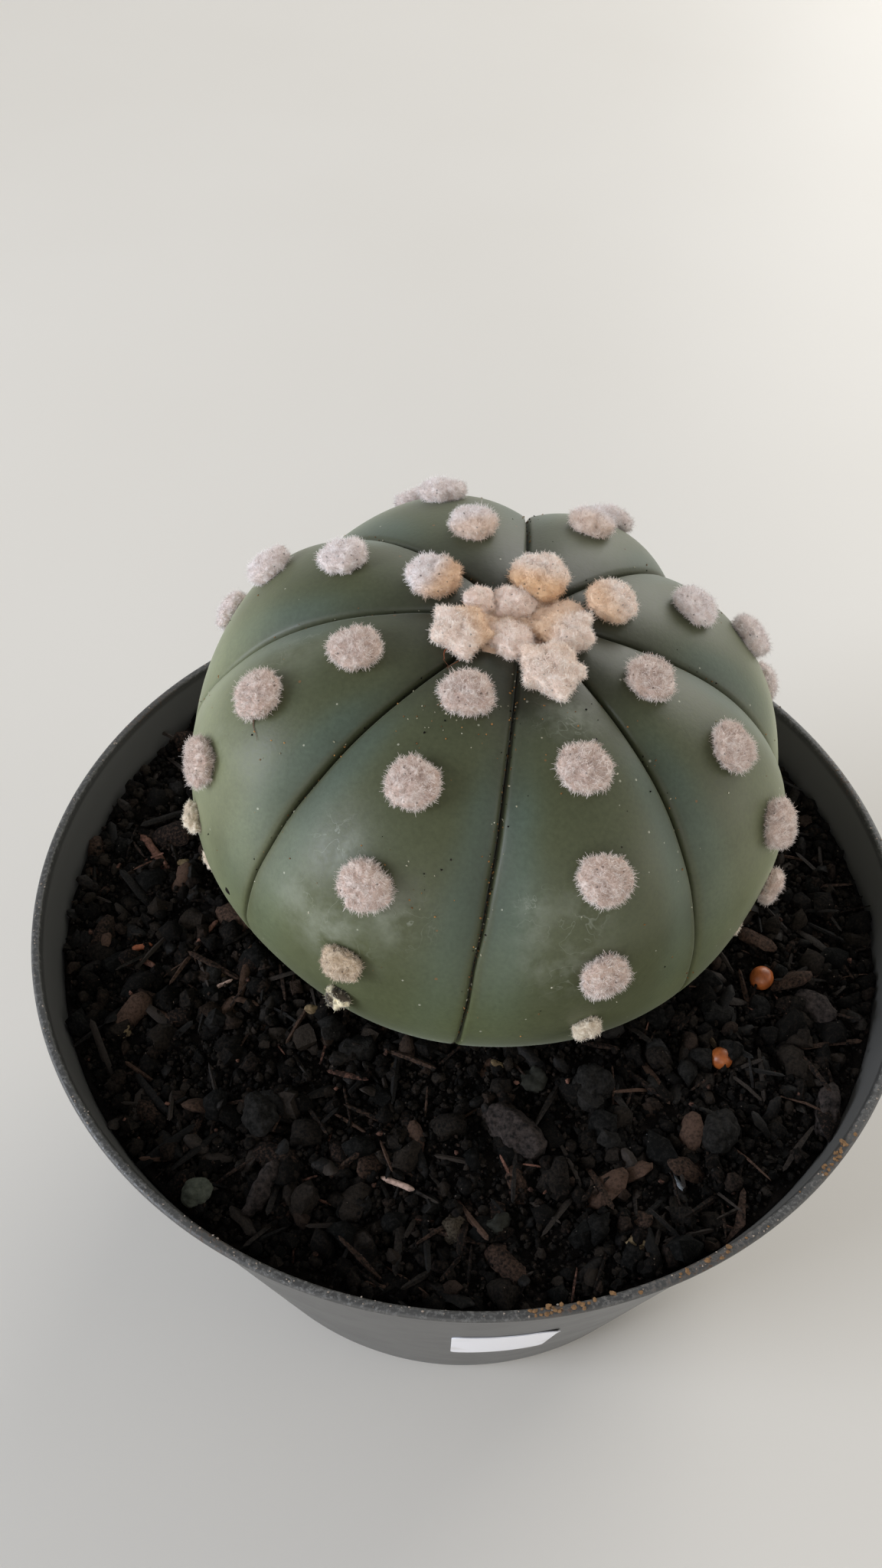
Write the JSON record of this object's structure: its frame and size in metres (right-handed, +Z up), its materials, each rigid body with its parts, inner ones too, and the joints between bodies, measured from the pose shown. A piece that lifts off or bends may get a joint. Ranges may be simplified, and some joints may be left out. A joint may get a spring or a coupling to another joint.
{
  "type": "potted round cactus",
  "caption": "Low round spineless star cactus with broad ribs and rows of woolly cushions, rooted in dark potting mix in a shallow tapered black plastic pot.",
  "frame": {"origin": "centre of the pot's foot, on the surface the pot stands on", "axes": "+Z up along the pot's axis; +Y towards the side of the pot where the stem stands; +X to the right of that"},
  "size_m": [0.11, 0.11, 0.1034],
  "materials": {
    "pot_plastic": "injection-moulded black polypropylene, glossy, with dust on the lip",
    "label_paper": "blank white self-adhesive paper",
    "potting_mix": "moist mix of carbonised rice husk, bark fibre and charcoal",
    "stem_skin": "waxy grey-green cactus skin",
    "areole_wool": "matted cream wool with short hairs",
    "bark": "raw broken bark",
    "charcoal": "broken charcoal",
    "gravel": "rough dusty grain",
    "prill_resin": "resin-coated fertiliser bead"
  },
  "bodies": {
    "root": {"pot": "pot_plastic", "blank_label": "label_paper", "potting_mix": "potting_mix", "cactus_stem": "stem_skin", "bark_chip_1": "bark", "bark_chip_2": "bark", "bark_chip_3": "bark", "bark_chip_4": "bark", "charcoal_lump_1": "charcoal", "charcoal_lump_2": "charcoal", "charcoal_lump_3": "charcoal", "crown_wool_1": "areole_wool", "crown_wool_2": "areole_wool", "crown_wool_3": "areole_wool", "crown_wool_4": "areole_wool", "crown_wool_5": "areole_wool", "crown_wool_6": "areole_wool", "fertiliser_prill_1": "prill_resin", "fertiliser_prill_2": "prill_resin", "gravel_grain": "gravel", "rib1_wool_1": "areole_wool", "rib1_wool_2": "areole_wool", "rib1_wool_3": "areole_wool", "rib1_wool_4": "areole_wool", "rib1_wool_5": "areole_wool", "rib2_wool_1": "areole_wool", "rib2_wool_2": "areole_wool", "rib2_wool_3": "areole_wool", "rib2_wool_4": "areole_wool", "rib2_wool_5": "areole_wool", "rib3_wool_1": "areole_wool", "rib3_wool_2": "areole_wool", "rib3_wool_3": "areole_wool", "rib3_wool_4": "areole_wool", "rib3_wool_5": "areole_wool", "rib4_wool_1": "areole_wool", "rib4_wool_2": "areole_wool", "rib4_wool_3": "areole_wool", "rib4_wool_4": "areole_wool", "rib4_wool_5": "areole_wool", "rib5_wool_1": "areole_wool", "rib5_wool_2": "areole_wool", "rib5_wool_3": "areole_wool", "rib5_wool_4": "areole_wool", "rib6_wool_1": "areole_wool", "rib6_wool_2": "areole_wool", "rib6_wool_3": "areole_wool", "rib6_wool_4": "areole_wool", "rib6_wool_5": "areole_wool", "rib7_wool_1": "areole_wool", "rib7_wool_2": "areole_wool", "rib7_wool_3": "areole_wool", "rib7_wool_4": "areole_wool", "rib7_wool_5": "areole_wool", "rib7_wool_6": "areole_wool", "rib8_wool_1": "areole_wool", "rib8_wool_2": "areole_wool", "rib8_wool_3": "areole_wool", "rib8_wool_4": "areole_wool", "rib8_wool_5": "areole_wool"}
  },
  "joints": []
}
